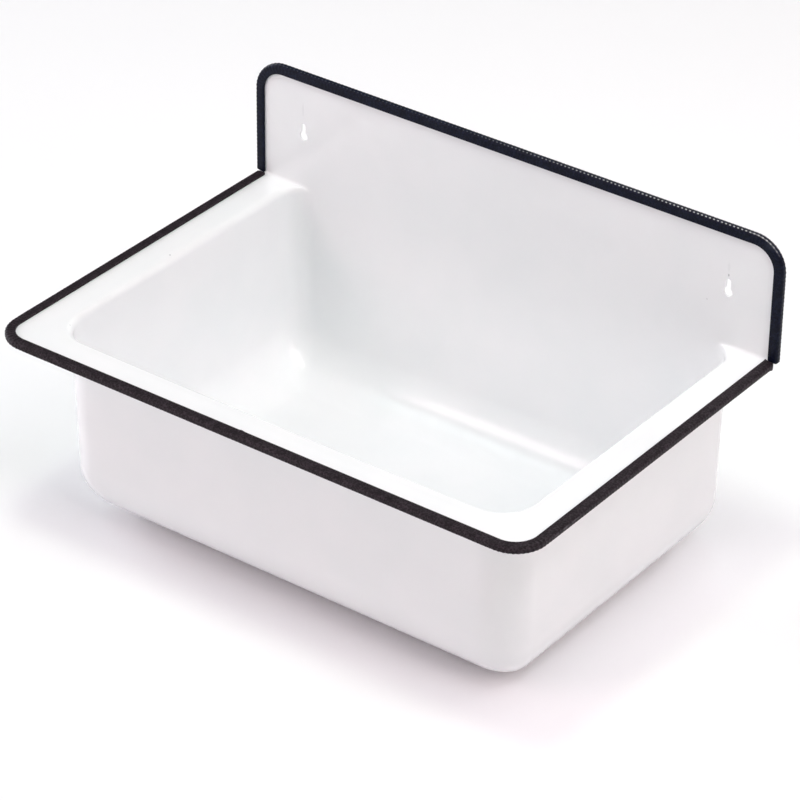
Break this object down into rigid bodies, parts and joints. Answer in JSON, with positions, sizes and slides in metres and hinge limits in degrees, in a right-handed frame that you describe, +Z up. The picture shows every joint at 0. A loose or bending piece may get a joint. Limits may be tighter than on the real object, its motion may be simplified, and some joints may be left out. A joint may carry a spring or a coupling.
{
  "type": "bucket sink",
  "caption": "Enamelled steel bucket sink: rectangular bowl, flat rim, upright splashback with keyhole slots and black edge trim.",
  "frame": {"origin": "middle of the waste hole, on the plane that the sink stands on", "axes": "+X to the right seen from the front, +Y towards the wall, +Z up along the waste hole"},
  "size_m": [0.514, 0.3429, 0.284],
  "materials": {
    "enamel": "glossy white vitreous enamel, fired on both faces",
    "rim_trim_vinyl": "satin, fine leather-like grain",
    "splash_trim_vinyl": "satin, fine leather-like grain",
    "clamp_steel": "cold-rolled spring strip"
  },
  "bodies": {
    "root": {"bowl_shell": "enamel", "rim_trim": "rim_trim_vinyl", "rim_trim_core": "clamp_steel", "splash_trim": "splash_trim_vinyl", "splash_trim_core": "clamp_steel"}
  },
  "joints": []
}
